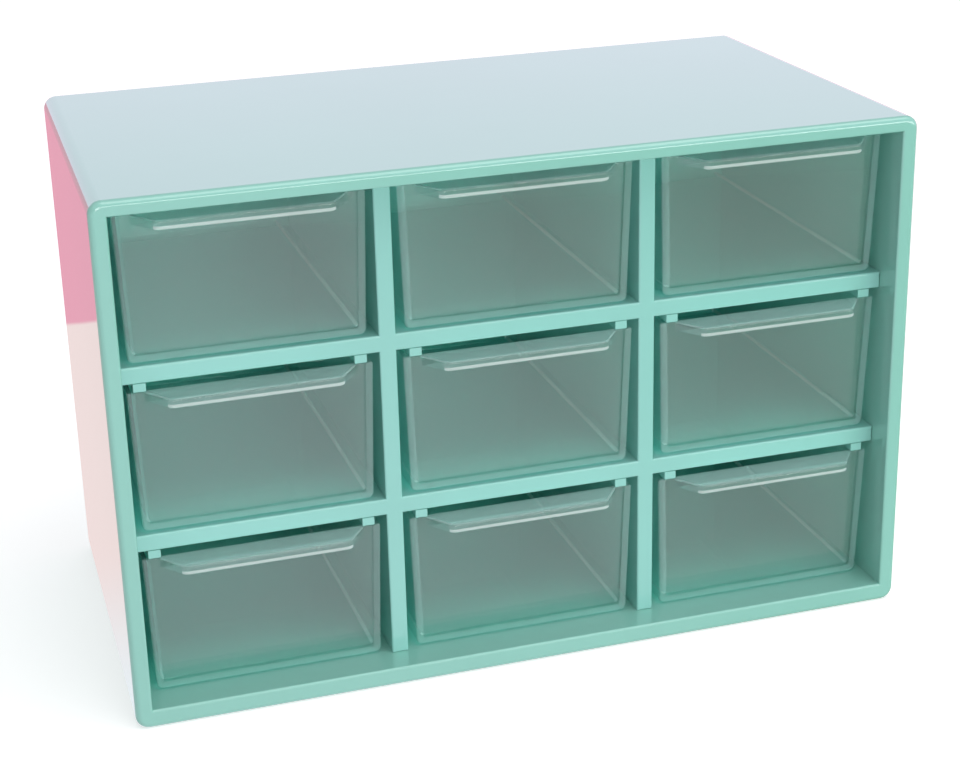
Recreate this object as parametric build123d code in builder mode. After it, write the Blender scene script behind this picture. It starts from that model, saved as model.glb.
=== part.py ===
from build123d import *
import os

# A desktop organizer: a moulded case, a divider grid set back inside it, and nine clear drawers.
# Millimetres. +Z is up, the drawers pull out towards -Y, and the origin is under the case's middle.

# Case, measured at its front rim
case_width = 184.0
case_depth = 98.0
case_height = 120.0
side_wall = 3.8
top_wall = 3.4
floor_wall = 4.4
back_wall = 2.6
outer_taper = 2.0
cavity_taper = 1.0
edge_round = 3.0
rim_round = 1.3
rim_inner_round = 0.5
back_round = 2.0

# Divider grid
columns = 3
rows = 3
upright_thickness = 3.8
shelf_thickness = 3.8
grid_recess = 7.2
grid_fit = 0.05
grid_edge_round = 0.4

# Guide ribs that hang over the rims of each drawer
rib_width = 2.7
rib_height = 1.8
rib_inset = 2.9

# Drawer
side_gap = 1.45
floor_gap = 0.3
rib_gap = 0.3
rear_gap = 0.3
front_setback = 0.3
drawer_wall = 1.2
drawer_floor = 1.3
side_lean = 1.0
front_lean = 0.9
rear_lean = 0.9
drawer_bottom_round = 1.4
drawer_inner_round = 0.9
drawer_edge_round = 0.5

# Handle, a flat ledge along the top of each drawer front
handle_root_width = 45.6
handle_tip_width = 37.0
handle_reach = 6.1
handle_thickness = 2.1
handle_corner_round = 2.2
handle_edge_round = 0.4

# Places that follow from the sizes above
case_front = -case_depth / 2
case_back = case_depth / 2
cavity_back = case_back - back_wall
cavity_top = case_height - top_wall
grid_front = case_front + grid_recess
cavity_width = case_width - 2 * side_wall
cell_width = (cavity_width - (columns - 1) * upright_thickness) / columns
cell_height = (cavity_top - floor_wall - (rows - 1) * shelf_thickness) / rows
column_pitch = cell_width + upright_thickness
row_pitch = cell_height + shelf_thickness
column_centres = [(i - (columns - 1) / 2) * column_pitch for i in range(columns)]
cell_floors = [floor_wall + i * row_pitch for i in range(rows)]

drawer_top = cell_height - rib_height - rib_gap
drawer_front = grid_front + front_setback
drawer_back = cavity_back - rear_gap
drawer_top_width = cell_width - 2 * side_gap
drawer_middle = (drawer_front + drawer_back) / 2
drawer_length = drawer_back - drawer_front


def place_names(count, first, between, last):
    """Names along a row of cells, such as left, middle and right."""
    inner = [between if count == 3 else f"{between}_{i}" for i in range(1, count - 1)]
    return [first] + inner + [last]


def tapered_plan(front_width, taper, front, back):
    """Corners of a plan outline that is narrower by taper on each side at its back."""
    front_half = front_width / 2
    back_half = front_half - taper
    return [(-front_half, front), (front_half, front), (back_half, back), (-back_half, back)]


def cavity_width_at(y):
    """Inside width of the case at a depth, between its two leaning side walls."""
    share = (y - case_front) / (cavity_back - case_front)
    return cavity_width - 2 * cavity_taper * share


def rib_centres(column_centre):
    """Where the two guide ribs of a cell stand across its width."""
    offset = cell_width / 2 - rib_inset - rib_width / 2
    return [column_centre - offset, column_centre + offset]


def runs_front_to_back(edge):
    """True for the case's long edges, which lean only by the taper."""
    return abs(edge.tangent_at(0.5).Y) > 0.9


rib_length = cavity_back - grid_front
rib_middle = (cavity_back + grid_front) / 2


# Case shell: five walls open at the front, with the top row's guide ribs under its top

with BuildPart() as case_shell:
    with BuildSketch():
        Polygon(*tapered_plan(case_width, outer_taper, case_front, case_back), align=None)
    extrude(amount=case_height)
    fillet(case_shell.edges().filter_by(runs_front_to_back), edge_round)
    fillet(case_shell.faces().sort_by(Axis.Y)[-1].edges(), back_round)
    fillet(case_shell.faces().sort_by(Axis.Y)[0].edges(), rim_round)
    with BuildSketch(Plane.XY.offset(floor_wall)):
        Polygon(*tapered_plan(cavity_width, cavity_taper, case_front, cavity_back), align=None)
    extrude(amount=cavity_top - floor_wall, mode=Mode.SUBTRACT)
    rim_face = case_shell.faces().sort_by(Axis.Y)[0]
    fillet(rim_face.inner_wires()[0].edges(), rim_inner_round)
    for centre in column_centres:
        for x in rib_centres(centre):
            with Locations((x, rib_middle, cavity_top)):
                Box(rib_width, rib_length, rib_height, align=(Align.CENTER, Align.CENTER, Align.MAX))

case_shell.part.label = "case_shell"


# Divider grid: shelves and uprights in one lattice, with guide ribs under each shelf

shelf_plan = tapered_plan(
    cavity_width_at(grid_front) - 2 * grid_fit,
    (cavity_width_at(grid_front) - cavity_width_at(cavity_back)) / 2,
    grid_front,
    cavity_back,
)
upright_centres = [(i - (columns - 2) / 2) * column_pitch for i in range(columns - 1)]
shelf_undersides = [floor + cell_height for floor in cell_floors[:-1]]

with BuildPart() as divider_grid:
    for underside in shelf_undersides:
        with BuildSketch(Plane.XY.offset(underside)):
            Polygon(*shelf_plan, align=None)
        extrude(amount=shelf_thickness)
    upright_height = cavity_top - floor_wall - grid_fit
    for x in upright_centres:
        with Locations((x, rib_middle, floor_wall)):
            Box(upright_thickness, rib_length, upright_height, align=(Align.CENTER, Align.CENTER, Align.MIN))
    fillet(divider_grid.faces().sort_by(Axis.Y)[0].edges(), grid_edge_round)
    for underside in shelf_undersides:
        for centre in column_centres:
            for x in rib_centres(centre):
                with Locations((x, rib_middle, underside)):
                    Box(rib_width, rib_length, rib_height, align=(Align.CENTER, Align.CENTER, Align.MAX))

divider_grid.part.label = "divider_grid"


# Drawer: a clear tub whose walls lean outwards to its top, with a ledge handle

def leaning_section(top_width, bottom, top, lean):
    """Corners of a front view that is wider at its top than at its bottom."""
    top_half = top_width / 2
    bottom_half = top_half - lean
    return [(-bottom_half, bottom), (bottom_half, bottom), (top_half, top), (-top_half, top)]


inner_lean = side_lean * (drawer_top - floor_gap - drawer_floor) / (drawer_top - floor_gap)

with BuildPart() as tub_outside:
    with BuildSketch(Plane.XZ.offset(-drawer_middle)) as front_view:
        Polygon(*leaning_section(drawer_top_width, floor_gap, drawer_top, side_lean), align=None)
        fillet(front_view.vertices().group_by(Axis.Y)[0], drawer_bottom_round)
    extrude(amount=drawer_length, both=True)
    with BuildSketch(Plane.YZ):
        Polygon(
            (drawer_front + front_lean, floor_gap),
            (drawer_back - rear_lean, floor_gap),
            (drawer_back, drawer_top),
            (drawer_front, drawer_top),
            align=None,
        )
    extrude(amount=drawer_top_width, both=True, mode=Mode.INTERSECT)

with BuildPart() as tub_inside:
    inside_floor = floor_gap + drawer_floor
    with BuildSketch(Plane.XZ.offset(-drawer_middle)) as inner_view:
        Polygon(
            *leaning_section(drawer_top_width - 2 * drawer_wall, inside_floor, drawer_top, inner_lean),
            align=None,
        )
        fillet(inner_view.vertices().group_by(Axis.Y)[0], drawer_inner_round)
    extrude(amount=drawer_length, both=True)
    with BuildSketch(Plane.YZ):
        Polygon(
            (drawer_front + front_lean + drawer_wall, inside_floor),
            (drawer_back - rear_lean - drawer_wall, inside_floor),
            (drawer_back - drawer_wall, drawer_top),
            (drawer_front + drawer_wall, drawer_top),
            align=None,
        )
    extrude(amount=drawer_top_width, both=True, mode=Mode.INTERSECT)

handle_tip = drawer_front - handle_reach
handle_root = drawer_front + drawer_wall / 2

with BuildPart() as handle:
    with BuildSketch(Plane.XY.offset(drawer_top - handle_thickness)) as ledge:
        Polygon(
            (-handle_root_width / 2, handle_root),
            (-handle_root_width / 2, drawer_front),
            (-handle_tip_width / 2, handle_tip),
            (handle_tip_width / 2, handle_tip),
            (handle_root_width / 2, drawer_front),
            (handle_root_width / 2, handle_root),
            align=None,
        )
        fillet(ledge.vertices().group_by(Axis.Y)[0], handle_corner_round)
    extrude(amount=handle_thickness)
    level_edges = handle.faces().sort_by(Axis.Z)[0].edges() + handle.faces().sort_by(Axis.Z)[-1].edges()
    fillet(level_edges - handle.faces().sort_by(Axis.Y)[-1].edges(), handle_edge_round)

with BuildPart() as drawer:
    add(tub_outside.part)
    end_faces = drawer.faces().sort_by(Axis.Y)
    end_outlines = end_faces[0].edges() + end_faces[-1].edges()
    fillet(end_outlines - drawer.faces().sort_by(Axis.Z)[-1].edges(), drawer_edge_round)
    add(tub_inside.part, mode=Mode.SUBTRACT)
    add(handle.part)


os.makedirs("parts", exist_ok=True)
for piece in (case_shell, divider_grid):
    export_step(piece.part, f"parts/{piece.part.label}.step")

row_names = place_names(rows, "bottom", "centre", "top")
column_names = place_names(columns, "left", "middle", "right")
for row_name, cell_floor in zip(row_names, cell_floors):
    for column_name, centre in zip(column_names, column_centres):
        with BuildPart() as placed_drawer:
            with Locations((centre, 0, cell_floor)):
                add(drawer.part)
        placed_drawer.part.label = f"drawer_{row_name}_{column_name}"
        export_step(placed_drawer.part, f"parts/{placed_drawer.part.label}.step")
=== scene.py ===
import math
from types import SimpleNamespace
import bmesh
import bpy
from mathutils import Matrix, Vector


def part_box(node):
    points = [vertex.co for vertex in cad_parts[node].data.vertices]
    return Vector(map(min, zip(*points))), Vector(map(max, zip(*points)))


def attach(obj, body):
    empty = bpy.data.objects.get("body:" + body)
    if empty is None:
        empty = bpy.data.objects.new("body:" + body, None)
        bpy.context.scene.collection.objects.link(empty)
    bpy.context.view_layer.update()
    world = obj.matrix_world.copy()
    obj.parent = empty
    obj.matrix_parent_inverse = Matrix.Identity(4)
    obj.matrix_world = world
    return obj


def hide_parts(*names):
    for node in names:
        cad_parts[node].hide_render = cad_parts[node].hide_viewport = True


# Looks of the desktop organizer: glossy mint mouldings and clear drawers, on a plain pale floor.
# Lengths are in metres, and colours are linear.

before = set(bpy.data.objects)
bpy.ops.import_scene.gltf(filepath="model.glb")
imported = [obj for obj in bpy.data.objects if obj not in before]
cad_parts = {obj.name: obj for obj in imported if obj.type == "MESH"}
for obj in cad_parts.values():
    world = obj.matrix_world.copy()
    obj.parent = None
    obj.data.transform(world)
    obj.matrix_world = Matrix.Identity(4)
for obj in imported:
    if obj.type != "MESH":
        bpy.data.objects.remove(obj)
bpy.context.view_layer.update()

# Camera, at the photograph's viewing angle
EYE = Vector((-0.131438, -0.44085, 0.231187))
AZIMUTH = math.radians(17.0)
ELEVATION = math.radians(-21.361)
ROLL = math.radians(-1.416)
FOCAL_LENGTH_MM = 76.08
SENSOR_WIDTH_MM = 36.0
NEAREST_SEEN = 0.01

# Lamps: the place, the width and height, and the power in watts of each. All are aimed at one point.
# The low one stays below what the glossy top mirrors in views from behind.
LAMP_AIM = Vector((0, 0, 0.06))
TOP_LIGHT_PLACE = (0.35, -0.45, 1.25)
TOP_LIGHT_SIZE = (1.2, 0.8)
TOP_LIGHT_POWER = 6.5
LOW_LIGHT_PLACE = (0.5, -1.35, 0.16)
LOW_LIGHT_SIZE = (2.0, 0.28)
LOW_LIGHT_POWER = 9.2
BACK_LIGHT_PLACE = (0.1, 1.43, 0.46)
BACK_LIGHT_SIZE = (2.2, 0.8)
BACK_LIGHT_POWER = 3.2
WHITE = (1, 1, 1)
LILAC = (0.85, 0.72, 1.0)

# Noise textures, as features per metre and levels of detail, and the values that they mostly lie between
FLOW_NOISE = (14, 4)
GLOSS_NOISE = (90, 5)
UNEVEN_NOISE = (22, 2)
HAZE_NOISE = (60, 4)
FAR_EDGE_NOISE = (30, 2)
NOISE_LOW = 0.3
NOISE_HIGH = 0.7

# Mint plastic, with flow marks a little darker and lighter than its colour, and slightly uneven walls
CASE_MINT = (0.29, 0.61, 0.53)
GRID_MINT = (0.31, 0.66, 0.60)
MINT_IOR = 1.54
MINT_COAT_IOR = 1.3
MINT_ROUGHNESS = (0.04, 0.08)
FLOW_DARKER = 0.97
FLOW_LIGHTER = 1.03
UNEVEN_DEPTH = 0.0002
UNEVEN_STRENGTH = 0.15
COAT_ROUGHNESS = 0.04

# Clear plastic. Its body hardly bends light and its coat has the gloss. Edges are paler than walls: these
# are painted highlights, and the ledge is paler by a painted sheen.
CLEAR_IOR = 1.005
CLEAR_COAT_IOR = 1.5
CLEAR_ROUGHNESS = (0.05, 0.12)
WALL_CLARITY = 0.945
# The hazier finishes below paint a sheen on the ledge and highlights on the edges
LEDGE_PAINTED_SHEEN_CLARITY = 0.70
SOFT_PAINTED_HIGHLIGHT_CLARITY = 0.80
BRIGHT_PAINTED_HIGHLIGHT_CLARITY = 0.50
WALL_TINT = (0.88, 0.99, 0.97)
PAINTED_SHEEN_AND_HIGHLIGHT_TINT = (0.72, 0.97, 0.94)
BRIGHT_PAINTED_HIGHLIGHT_TINT = (0.86, 0.98, 0.95)
SHADOW_TINT = (0.34, 0.92, 0.88)

# Where each finish stands in a drawer's list of materials. The ledge is the top of the handle, and its
# finish is a painted sheen; the soft and bright finishes are painted highlights.
WALLS = 0
LEDGE_PAINTED_SHEEN = 1
SOFT_PAINTED_HIGHLIGHT = 2
BRIGHT_PAINTED_HIGHLIGHT = 3

# Floor, and what it adds to its light where it is seen directly or through a drawer
FLOOR_HALF_WIDTH = 6.0
FLOOR_COLOUR = (0.74, 0.74, 0.74)
FLOOR_ROUGHNESS = 0.9
FLOOR_SPECULAR = 0.1
FLOOR_LIFT = 0.54

# Painted reflection: colours that the floor shows only to glossy rays, so that glossy walls mirror them,
# and where on the floor one part of it gives way to the next
PAINTED_REFLECTION_FRONT_LEFT = (0.88, 0.95, 1.0)
PAINTED_REFLECTION_FRONT_RIGHT = (0.03, 0.35, 0.05)
RIGHT_BEGINS = 0.06
RIGHT_BLUR = 0.24
PAINTED_REFLECTION_BEHIND_NEAR = (0.94, 0.77, 0.76)
PAINTED_REFLECTION_BEHIND_FAR = (0.86, 0.38, 0.50)
BEHIND_BEGINS = 0
BEHIND_BLUR = 0.1
FAR_BEGINS = 0.226
FAR_BLUR = 0.006
FAR_WAVE = 0.003
WORLD_COLOUR = (0.97, 0.98, 1.0)
WORLD_STRENGTH = 0.55

# Drawer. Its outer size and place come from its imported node.
DRAWER_WALL = 0.0012
DRAWER_FLOOR = 0.0013
SIDE_LEAN = 0.0010
END_LEAN = 0.0009
BOTTOM_ROUND = 0.0014
INSIDE_BOTTOM_ROUND = 0.0009
HANDLE_REACH = 0.0061
HANDLE_THICKNESS = 0.0021
HANDLE_ROOT_WIDTH = 0.0456
HANDLE_TIP_WIDTH = 0.0370
HANDLE_CORNER_ROUND = 0.0022
ROUND_STEPS = 6

# Edge rounds of a drawer, as bevel widths, and how they are made and shaded
WIDEST_ROUND = 0.0010
END_OUTLINE_ROUND = 0.0005
INSIDE_END_ROUND = 0.0010
RIM_ROUND = 0.0003
HANDLE_TOP_ROUND = 0.0006
HANDLE_EDGE_ROUND = 0.0003
HANDLE_ROOT_ROUND = 0.0004
BEVEL_SEGMENTS = 3
SHADING_WEIGHT = 80

# Edges of a drawer that carry painted highlights: how far up the handle's edge the bright one reaches, how
# wide a band the soft one takes along the outline of the front, with its corner rounds, and how far a face
# in a corner of the inside floor leans sideways and upwards
BRIGHT_PAINTED_HIGHLIGHT_HEIGHT = 0.0008
OUTLINE_BAND = 0.0017
BAND_ROUND = 0.0003
CORNER_LEAN = 0.3


def new_material(name):
    """A material with only an output node. It is returned with its node tree and that node."""
    material = bpy.data.materials.new(name)
    material.use_nodes = True
    material.node_tree.nodes.clear()
    output = material.node_tree.nodes.new("ShaderNodeOutputMaterial")
    return material, material.node_tree, output


def noise(tree, scale, detail):
    """A noise texture in the piece's own coordinates, with its scale in features per metre."""
    coordinates = tree.nodes.new("ShaderNodeTexCoord")
    texture = tree.nodes.new("ShaderNodeTexNoise")
    texture.inputs["Scale"].default_value = scale
    texture.inputs["Detail"].default_value = detail
    tree.links.new(coordinates.outputs["Object"], texture.inputs["Vector"])
    return texture.outputs["Fac"]


def ranged(tree, value, low, high):
    """Maps a noise value onto a range."""
    node = tree.nodes.new("ShaderNodeMapRange")
    node.inputs["From Min"].default_value = NOISE_LOW
    node.inputs["From Max"].default_value = NOISE_HIGH
    node.inputs["To Min"].default_value = low
    node.inputs["To Max"].default_value = high
    tree.links.new(value, node.inputs["Value"])
    return node.outputs["Result"]


def step_at(tree, value, place, blur):
    """0 below a place and 1 above it, with a soft edge as wide as the blur."""
    node = tree.nodes.new("ShaderNodeMapRange")
    node.interpolation_type = "SMOOTHSTEP"
    node.inputs["From Min"].default_value = place - blur / 2
    node.inputs["From Max"].default_value = place + blur / 2
    tree.links.new(value, node.inputs["Value"])
    return node.outputs["Result"]


def maths(tree, operation, first, second):
    """One operation on a socket and on a second socket or a number."""
    node = tree.nodes.new("ShaderNodeMath")
    node.operation = operation
    tree.links.new(first, node.inputs[0])
    if isinstance(second, float):
        node.inputs[1].default_value = second
    else:
        tree.links.new(second, node.inputs[1])
    return node.outputs["Value"]


def tinted(tree, factor, first, second):
    """A colour that varies between two fixed colours."""
    mix = tree.nodes.new("ShaderNodeMix")
    mix.data_type = "RGBA"
    mix.inputs["A"].default_value = (*first, 1)
    mix.inputs["B"].default_value = (*second, 1)
    tree.links.new(factor, mix.inputs["Factor"])
    return mix.outputs["Result"]


def blended(tree, factor, first, second):
    """A colour that varies between two colour sockets."""
    mix = tree.nodes.new("ShaderNodeMix")
    mix.data_type = "RGBA"
    tree.links.new(factor, mix.inputs["Factor"])
    tree.links.new(first, mix.inputs["A"])
    tree.links.new(second, mix.inputs["B"])
    return mix.outputs["Result"]


def bumped(tree, height, distance, strength):
    """A bump from a height, its distance in metres."""
    bump = tree.nodes.new("ShaderNodeBump")
    bump.inputs["Distance"].default_value = distance
    bump.inputs["Strength"].default_value = strength
    tree.links.new(height, bump.inputs["Height"])
    return bump.outputs["Normal"]


def mixed(tree, factor, first, second):
    """A mix of two shaders, by a socket."""
    mix = tree.nodes.new("ShaderNodeMixShader")
    tree.links.new(factor, mix.inputs["Fac"])
    tree.links.new(first, mix.inputs[1])
    tree.links.new(second, mix.inputs[2])
    return mix.outputs["Shader"]


def mint_plastic(name, colour):
    """Glossy opaque moulded plastic, with faint flow marks and walls that are not quite flat."""
    material, tree, output = new_material(name)
    shader = tree.nodes.new("ShaderNodeBsdfPrincipled")
    shader.inputs["IOR"].default_value = MINT_IOR
    shader.inputs["Coat Weight"].default_value = 1.0
    shader.inputs["Coat IOR"].default_value = MINT_COAT_IOR
    shader.inputs["Coat Roughness"].default_value = COAT_ROUGHNESS
    flow = ranged(tree, noise(tree, *FLOW_NOISE), 0, 1)
    darker = tuple(c * FLOW_DARKER for c in colour)
    lighter = tuple(c * FLOW_LIGHTER for c in colour)
    tree.links.new(tinted(tree, flow, darker, lighter), shader.inputs["Base Color"])
    roughness = ranged(tree, noise(tree, *GLOSS_NOISE), *MINT_ROUGHNESS)
    tree.links.new(roughness, shader.inputs["Roughness"])
    uneven = bumped(tree, noise(tree, *UNEVEN_NOISE), UNEVEN_DEPTH, UNEVEN_STRENGTH)
    tree.links.new(uneven, shader.inputs["Normal"])
    tree.links.new(shader.outputs["BSDF"], output.inputs["Surface"])
    return material


def clear_plastic(name, clarity, colour):
    """Clear moulded plastic with a little haze, which is raised to paint highlights and sheen. Lamps shine
    through it, so what is inside keeps its light.
    """
    material, tree, output = new_material(name)
    shader = tree.nodes.new("ShaderNodeBsdfPrincipled")
    shader.inputs["Base Color"].default_value = (*colour, 1)
    shader.inputs["Transmission Weight"].default_value = clarity
    shader.inputs["IOR"].default_value = CLEAR_IOR
    shader.inputs["Coat Weight"].default_value = 1.0
    shader.inputs["Coat IOR"].default_value = CLEAR_COAT_IOR
    shader.inputs["Coat Roughness"].default_value = COAT_ROUGHNESS
    roughness = ranged(tree, noise(tree, *HAZE_NOISE), *CLEAR_ROUGHNESS)
    tree.links.new(roughness, shader.inputs["Roughness"])
    pass_through = tree.nodes.new("ShaderNodeBsdfTransparent")
    pass_through.inputs["Color"].default_value = (*SHADOW_TINT, 1)
    path = tree.nodes.new("ShaderNodeLightPath")
    shadow_ray = path.outputs["Is Shadow Ray"]
    surface = mixed(tree, shadow_ray, shader.outputs["BSDF"], pass_through.outputs["BSDF"])
    tree.links.new(surface, output.inputs["Surface"])
    return material


def painted_reflection(tree):
    """A painted reflection, seen only by glossy rays on the floor: pale in front, darker to the right, warm
    behind and rosy further back.
    """
    coordinates = tree.nodes.new("ShaderNodeTexCoord")
    place = tree.nodes.new("ShaderNodeSeparateXYZ")
    tree.links.new(coordinates.outputs["Object"], place.inputs["Vector"])
    wave = ranged(tree, noise(tree, *FAR_EDGE_NOISE), -FAR_WAVE, FAR_WAVE)
    uneven_depth = maths(tree, "ADD", place.outputs["Y"], wave)
    is_right = step_at(tree, place.outputs["X"], RIGHT_BEGINS, RIGHT_BLUR)
    is_far = step_at(tree, uneven_depth, FAR_BEGINS, FAR_BLUR)
    is_behind = step_at(tree, place.outputs["Y"], BEHIND_BEGINS, BEHIND_BLUR)
    front = tinted(tree, is_right, PAINTED_REFLECTION_FRONT_LEFT, PAINTED_REFLECTION_FRONT_RIGHT)
    behind = tinted(tree, is_far, PAINTED_REFLECTION_BEHIND_NEAR, PAINTED_REFLECTION_BEHIND_FAR)
    painted_reflection_emission = tree.nodes.new("ShaderNodeEmission")
    tree.links.new(blended(tree, is_behind, front, behind), painted_reflection_emission.inputs["Color"])
    return painted_reflection_emission.outputs["Emission"]


def floor_finish():
    """Pale and matt, near white to the camera with its shadow kept. Glossy rays see a painted reflection
    instead.
    """
    material, tree, output = new_material("floor")
    shader = tree.nodes.new("ShaderNodeBsdfPrincipled")
    shader.inputs["Base Color"].default_value = (*FLOOR_COLOUR, 1)
    shader.inputs["Roughness"].default_value = FLOOR_ROUGHNESS
    shader.inputs["Specular IOR Level"].default_value = FLOOR_SPECULAR
    shader.inputs["Emission Color"].default_value = (*WHITE, 1)
    path = tree.nodes.new("ShaderNodeLightPath")
    camera_ray = path.outputs["Is Camera Ray"]
    glossy_ray = path.outputs["Is Glossy Ray"]
    transmission_ray = path.outputs["Is Transmission Ray"]
    seen = maths(tree, "MAXIMUM", camera_ray, transmission_ray)
    tree.links.new(maths(tree, "MULTIPLY", seen, FLOOR_LIFT), shader.inputs["Emission Strength"])
    only_glossy = maths(tree, "SUBTRACT", glossy_ray, transmission_ray)
    shows_painted_reflection = maths(tree, "MAXIMUM", only_glossy, 0.0)
    # Glossy rays see the painted reflection in place of the lit floor
    surface = mixed(tree, shows_painted_reflection, shader.outputs["BSDF"], painted_reflection(tree))
    tree.links.new(surface, output.inputs["Surface"])
    return material


def set_material(obj, material):
    """Gives a piece one material in place of those it has."""
    obj.data.materials.clear()
    obj.data.materials.append(material)


def dress_nodes():
    """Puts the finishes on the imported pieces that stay."""
    set_material(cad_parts["case_shell"], mint_plastic("mint_plastic_case", CASE_MINT))
    set_material(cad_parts["divider_grid"], mint_plastic("mint_plastic_grid", GRID_MINT))


def round_corner(before, corner, after, radius):
    """Points of an arc that rounds one corner of an outline."""
    to_before = (before - corner).normalized()
    to_after = (after - corner).normalized()
    half_angle = to_before.angle(to_after) / 2
    centre = corner + (to_before + to_after).normalized() * radius / math.sin(half_angle)
    start = corner + to_before * radius / math.tan(half_angle) - centre
    end = corner + to_after * radius / math.tan(half_angle) - centre
    shares = [i / ROUND_STEPS for i in range(ROUND_STEPS + 1)]
    return [centre + radius * start.slerp(end, share) for share in shares]


def tub_section(top_width, bottom, top, lean, radius):
    """Front view of a tub as (x, z) points: down its left, along its rounded bottom and up its right."""
    top_left = Vector((-top_width / 2, top))
    top_right = Vector((top_width / 2, top))
    bottom_left = Vector((-top_width / 2 + lean, bottom))
    bottom_right = Vector((top_width / 2 - lean, bottom))
    left_round = round_corner(top_left, bottom_left, bottom_right, radius)
    right_round = round_corner(bottom_left, bottom_right, top_right, radius)
    return [top_left] + left_round + right_round + [top_right]


def handle_plan(tip, root):
    """Plan of the handle as (x, y) points, from its left root round its tip to its right root."""
    left_root = Vector((-HANDLE_ROOT_WIDTH / 2, root))
    right_root = Vector((HANDLE_ROOT_WIDTH / 2, root))
    left_tip = Vector((-HANDLE_TIP_WIDTH / 2, tip))
    right_tip = Vector((HANDLE_TIP_WIDTH / 2, tip))
    left_round = round_corner(left_root, left_tip, right_tip, HANDLE_CORNER_ROUND)
    right_round = round_corner(left_tip, right_tip, right_root, HANDLE_CORNER_ROUND)
    return [left_root] + left_round + right_round + [right_root]


def end_at(z, bottom, top, plane, lean):
    """Depth of a leaning end wall at a height: plane at the top, and off it by lean at the bottom."""
    return plane + lean * (top - z) / (top - bottom)


class DrawerSizes:
    """Sizes of a drawer that follow from its node's box, and where its leaning walls are."""

    def __init__(self, low, high):
        self.width = high.x - low.x
        self.tip = low.y
        self.front = low.y + HANDLE_REACH
        self.back = high.y
        self.bottom = low.z
        self.top = high.z
        self.inside_floor = low.z + DRAWER_FLOOR
        self.handle_bottom = high.z - HANDLE_THICKNESS

    def side_inset(self, z):
        """How far in from its place at the top a side wall is at a height."""
        return SIDE_LEAN * (self.top - z) / (self.top - self.bottom)

    def front_at(self, z):
        """Depth of the front's outside at a height."""
        return end_at(z, self.bottom, self.top, self.front, END_LEAN)


def handle_loops(shape, sizes):
    """Vertices round the handle: along its top, its underside and the top of the bright painted highlight
    on its edge.
    """
    upper_plan = handle_plan(sizes.tip, sizes.front)
    under_plan = handle_plan(sizes.tip, sizes.front_at(sizes.handle_bottom))
    lit_top = sizes.handle_bottom + BRIGHT_PAINTED_HIGHLIGHT_HEIGHT
    lit_root = sizes.front_at(lit_top)
    left_root = Vector((-HANDLE_ROOT_WIDTH / 2, lit_root))
    right_root = Vector((HANDLE_ROOT_WIDTH / 2, lit_root))
    lit_plan = [left_root] + under_plan[1:-1] + [right_root]
    levels = [(upper_plan, sizes.top), (under_plan, sizes.handle_bottom), (lit_plan, lit_top)]
    return [[shape.verts.new((p.x, p.y, z)) for p in plan] for plan, z in levels]


def drawer_loops(shape, sizes):
    """The vertices of a drawer, in loops from left to right: on its end walls, outside and inside, round a
    narrow band along the outline of its front, and round its handle."""
    top = sizes.top
    floor = sizes.inside_floor
    band_bottom = sizes.bottom + OUTLINE_BAND
    band_width = sizes.width - 2 * OUTLINE_BAND
    inner_width = sizes.width - 2 * DRAWER_WALL
    outer = tub_section(sizes.width, sizes.bottom, top, SIDE_LEAN, BOTTOM_ROUND)
    band = tub_section(band_width, band_bottom, top, sizes.side_inset(band_bottom), BAND_ROUND)
    inner = tub_section(inner_width, floor, top, sizes.side_inset(floor), INSIDE_BOTTOM_ROUND)

    def on_end(section, bottom, plane, lean):
        return [shape.verts.new((p.x, end_at(p.y, bottom, top, plane, lean), p.y)) for p in section]

    loops = SimpleNamespace()
    loops.front = on_end(outer, sizes.bottom, sizes.front, END_LEAN)
    loops.band = on_end(band, sizes.bottom, sizes.front, END_LEAN)
    loops.back = on_end(outer, sizes.bottom, sizes.back, -END_LEAN)
    loops.inner_front = on_end(inner, floor, sizes.front + DRAWER_WALL, END_LEAN)
    loops.inner_back = on_end(inner, floor, sizes.back - DRAWER_WALL, -END_LEAN)
    loops.upper, loops.under, loops.lit = handle_loops(shape, sizes)
    return loops


def fill_strip(shape, first, second):
    """Faces between two loops of equally many vertices."""
    for corners in zip(first, first[1:], second[1:], second):
        shape.faces.new(corners)


def fill_drawer(shape, loops):
    """The faces of a drawer, which close it to one solid."""
    front, back, band = loops.front, loops.back, loops.band
    inner_front, inner_back = loops.inner_front, loops.inner_back
    upper, lit, under = loops.upper, loops.lit, loops.under
    fill_strip(shape, front, back)
    fill_strip(shape, front, band)
    fill_strip(shape, inner_back, inner_front)
    fill_strip(shape, upper, lit)
    fill_strip(shape, lit, under)
    shape.faces.new(band + [upper[-1], lit[-1], under[-1], under[0], lit[0], upper[0]])
    shape.faces.new(back)
    shape.faces.new(inner_front)
    shape.faces.new(inner_back)
    shape.faces.new(under)
    shape.faces.new([front[0], band[0]] + upper + [band[-1], front[-1], inner_front[-1], inner_front[0]])
    shape.faces.new((front[0], inner_front[0], inner_back[0], back[0]))
    shape.faces.new((front[-1], back[-1], inner_back[-1], inner_front[-1]))
    shape.faces.new((back[0], inner_back[0], inner_back[-1], back[-1]))
    bmesh.ops.recalc_face_normals(shape, faces=shape.faces)


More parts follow.
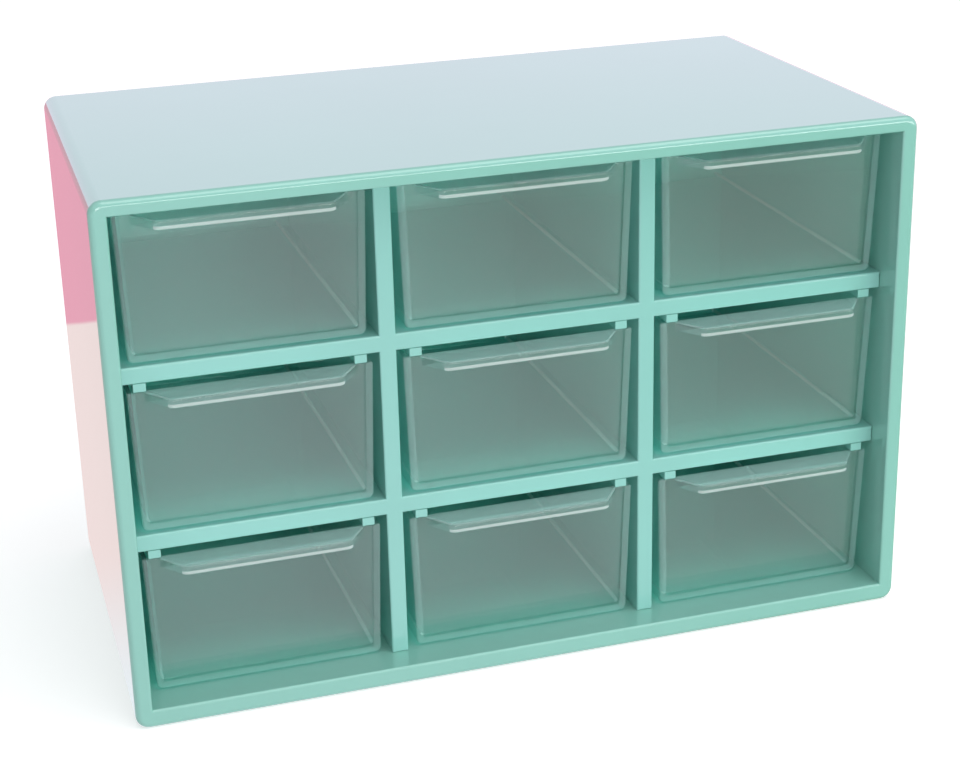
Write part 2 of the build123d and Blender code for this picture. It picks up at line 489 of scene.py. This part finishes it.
def set_rounds(shape, loops, round_width):
    """Gives the edges of a drawer their rounds, as shares of the widest one."""
    front, back, band = loops.front, loops.back, loops.band
    inner_front, inner_back = loops.inner_front, loops.inner_back
    upper, lit, under = loops.upper, loops.lit, loops.under

    def set_round(path, size):
        for a, b in zip(path, path[1:]):
            shape.edges.get((a, b))[round_width] = size / WIDEST_ROUND

    set_round(front, END_OUTLINE_ROUND)
    set_round(back, END_OUTLINE_ROUND)
    set_round(inner_front, INSIDE_END_ROUND)
    set_round(inner_back, INSIDE_END_ROUND)
    set_round([upper[0], band[0], front[0], back[0], back[-1], front[-1], band[-1], upper[-1]], RIM_ROUND)
    set_round([inner_front[0], inner_back[0], inner_back[-1], inner_front[-1], inner_front[0]], RIM_ROUND)
    set_round(upper, HANDLE_TOP_ROUND)
    set_round(under, HANDLE_EDGE_ROUND)
    set_round([upper[0], lit[0], under[0], under[-1], lit[-1], upper[-1]], HANDLE_ROOT_ROUND)


def rounded(shape):
    """The finished mesh of a sharp shape whose edges carry their rounds."""
    mesh = bpy.data.meshes.new("drawer_sharp")
    shape.to_mesh(mesh)
    shape.free()
    mesh.shade_smooth()
    sharp = bpy.data.objects.new("drawer_sharp", mesh)
    bpy.context.scene.collection.objects.link(sharp)
    bevel = sharp.modifiers.new("rounds", "BEVEL")
    bevel.limit_method = "WEIGHT"
    bevel.width = WIDEST_ROUND
    bevel.segments = BEVEL_SEGMENTS
    shading = sharp.modifiers.new("shading", "WEIGHTED_NORMAL")
    shading.weight = SHADING_WEIGHT
    evaluated = sharp.evaluated_get(bpy.context.evaluated_depsgraph_get())
    finished = bpy.data.meshes.new_from_object(evaluated)
    bpy.data.objects.remove(sharp)
    return finished


def finish_of(face, sizes):
    """Which of a drawer's finishes one of its faces has, by where the face lies and how it leans. All but
    the walls are painted highlights or a painted sheen.
    """
    place = face.center
    at_tip = place.y < sizes.tip + HANDLE_TOP_ROUND
    from_front = place.y - sizes.front_at(place.z)
    from_side = sizes.width / 2 - abs(place.x) - sizes.side_inset(place.z)
    near_outline = from_side < OUTLINE_BAND or place.z < sizes.bottom + OUTLINE_BAND
    in_corner = abs(face.normal.x) > CORNER_LEAN and face.normal.z > CORNER_LEAN
    # Painted highlight, bright, along the lower edge of the handle's tip
    if at_tip and place.z < sizes.handle_bottom + BRIGHT_PAINTED_HIGHLIGHT_HEIGHT:
        return BRIGHT_PAINTED_HIGHLIGHT
    # Painted highlight, soft, along the top edge of the handle's tip and round the outline of the front
    if at_tip and place.z > sizes.top - HANDLE_TOP_ROUND / 2:
        return SOFT_PAINTED_HIGHLIGHT
    if near_outline and from_front < END_OUTLINE_ROUND:
        return SOFT_PAINTED_HIGHLIGHT
    # Painted highlight, bright, along the corners of the inside floor
    if in_corner and place.z < sizes.inside_floor + INSIDE_BOTTOM_ROUND:
        return BRIGHT_PAINTED_HIGHLIGHT
    # Painted sheen on the top of the handle
    if place.y < sizes.front and place.z > sizes.top - HANDLE_EDGE_ROUND:
        return LEDGE_PAINTED_SHEEN
    return WALLS


def make_drawer_mesh(low, high):
    """One drawer at its place along y and z, centred on x: a leaning tub and its handle in one solid."""
    sizes = DrawerSizes(low, high)
    shape = bmesh.new()
    round_width = shape.edges.layers.float.new("bevel_weight_edge")
    loops = drawer_loops(shape, sizes)
    fill_drawer(shape, loops)
    set_rounds(shape, loops, round_width)
    mesh = rounded(shape)
    for face in mesh.polygons:
        face.material_index = finish_of(face, sizes)
    return mesh


def drawer_finishes():
    """The clear plastics of a drawer, in the order of their places in its list: the walls, then a painted
    sheen and a soft and a bright painted highlight.
    """
    return [
        clear_plastic("clear_plastic", WALL_CLARITY, WALL_TINT),
        clear_plastic("clear_plastic_ledge_painted_sheen", LEDGE_PAINTED_SHEEN_CLARITY, PAINTED_SHEEN_AND_HIGHLIGHT_TINT),
        clear_plastic("clear_plastic_soft_painted_highlight", SOFT_PAINTED_HIGHLIGHT_CLARITY, PAINTED_SHEEN_AND_HIGHLIGHT_TINT),
        clear_plastic("clear_plastic_lit_edge", BRIGHT_PAINTED_HIGHLIGHT_CLARITY, BRIGHT_PAINTED_HIGHLIGHT_TINT),
    ]


def make_drawers():
    """Nine drawers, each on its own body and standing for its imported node."""
    finishes = drawer_finishes()
    for name in sorted(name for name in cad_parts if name.startswith("drawer_")):
        low, high = (Vector(corner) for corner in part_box(name))
        mesh = make_drawer_mesh(low, high)
        mesh.name = f"clear_{name}"
        for finish in finishes:
            mesh.materials.append(finish)
        drawer = bpy.data.objects.new(f"clear_{name}", mesh)
        drawer.location.x = (low.x + high.x) / 2
        bpy.context.scene.collection.objects.link(drawer)
        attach(drawer, name)
        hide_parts(name)


def make_floor():
    """A large plain floor."""
    half = FLOOR_HALF_WIDTH
    corners = [(-half, -half, 0), (half, -half, 0), (half, half, 0), (-half, half, 0)]
    mesh = bpy.data.meshes.new("floor")
    mesh.from_pydata(corners, [], [(0, 1, 2, 3)])
    floor = bpy.data.objects.new("floor", mesh)
    bpy.context.scene.collection.objects.link(floor)
    set_material(floor, floor_finish())


def make_world():
    """An even pale sky."""
    world = bpy.data.worlds.new("studio")
    world.use_nodes = True
    background = world.node_tree.nodes["Background"]
    background.inputs["Color"].default_value = (*WORLD_COLOUR, 1)
    background.inputs["Strength"].default_value = WORLD_STRENGTH
    bpy.context.scene.world = world


def softbox(name, place, size, power, colour):
    """A rectangular area light aimed at the middle of the case."""
    data = bpy.data.lights.new(name, "AREA")
    data.shape = "RECTANGLE"
    data.size, data.size_y = size
    data.energy = power
    data.color = colour
    lamp = bpy.data.objects.new(name, data)
    lamp.location = place
    aim = LAMP_AIM - Vector(place)
    lamp.rotation_euler = aim.to_track_quat("-Z", "Y").to_euler()
    bpy.context.scene.collection.objects.link(lamp)


def make_camera():
    """The camera of the photograph."""
    data = bpy.data.cameras.new("camera")
    data.sensor_width = SENSOR_WIDTH_MM
    data.lens = FOCAL_LENGTH_MM
    data.clip_start = NEAREST_SEEN
    camera = bpy.data.objects.new("camera", data)
    turn = Matrix.Rotation(-AZIMUTH, 4, "Z")
    tilt = Matrix.Rotation(math.radians(90) + ELEVATION, 4, "X")
    roll = Matrix.Rotation(ROLL, 4, "Z")
    camera.matrix_world = Matrix.Translation(EYE) @ turn @ tilt @ roll
    bpy.context.scene.collection.objects.link(camera)
    bpy.context.scene.camera = camera


dress_nodes()
make_drawers()
make_floor()
make_world()
softbox("top_light", TOP_LIGHT_PLACE, TOP_LIGHT_SIZE, TOP_LIGHT_POWER, WHITE)
softbox("low_light", LOW_LIGHT_PLACE, LOW_LIGHT_SIZE, LOW_LIGHT_POWER, WHITE)
softbox("back_light", BACK_LIGHT_PLACE, BACK_LIGHT_SIZE, BACK_LIGHT_POWER, LILAC)
make_camera()
bpy.context.scene.view_settings.view_transform = "Standard"
